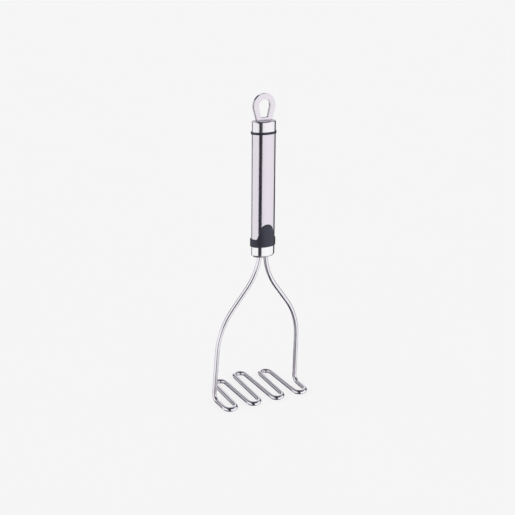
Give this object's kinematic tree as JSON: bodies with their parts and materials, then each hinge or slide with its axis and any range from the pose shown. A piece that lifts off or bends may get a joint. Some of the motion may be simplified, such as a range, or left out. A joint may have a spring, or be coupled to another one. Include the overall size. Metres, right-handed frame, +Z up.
{
  "type": "potato masher",
  "caption": "Hand masher: a zigzag wire head on curved wire legs, an oval steel handle with a rubber thumb grip, and a flat hanging loop.",
  "frame": {"origin": "on the floor under the middle of the head's outline, with the head standing flat", "axes": "+Z up and nearly along the handle, X across the head from leg to leg, -Y towards the front, where the thumb tongue is"},
  "size_m": [0.0878, 0.059, 0.2709],
  "materials": {
    "polished_wire": "polished stainless steel",
    "polished_ferrule": "polished stainless steel",
    "core_nylon": "moulded black nylon",
    "grip_rubber": "soft matt black with a fine moulded grain",
    "brushed_tube": "fine lengthwise brushing",
    "ring_rubber": "matt black",
    "polished_cap": "polished stainless steel",
    "plug_nylon": "moulded black nylon",
    "satin_loop": "satin, with polished edges"
  },
  "bodies": {
    "root": {"masher_wire": "polished_wire", "ferrule": "polished_ferrule", "lower_core": "core_nylon", "grip_collar": "grip_rubber", "handle_tube": "brushed_tube", "spacer_ring": "ring_rubber", "end_cap": "polished_cap", "upper_plug": "plug_nylon", "hanging_loop": "satin_loop"}
  },
  "joints": []
}
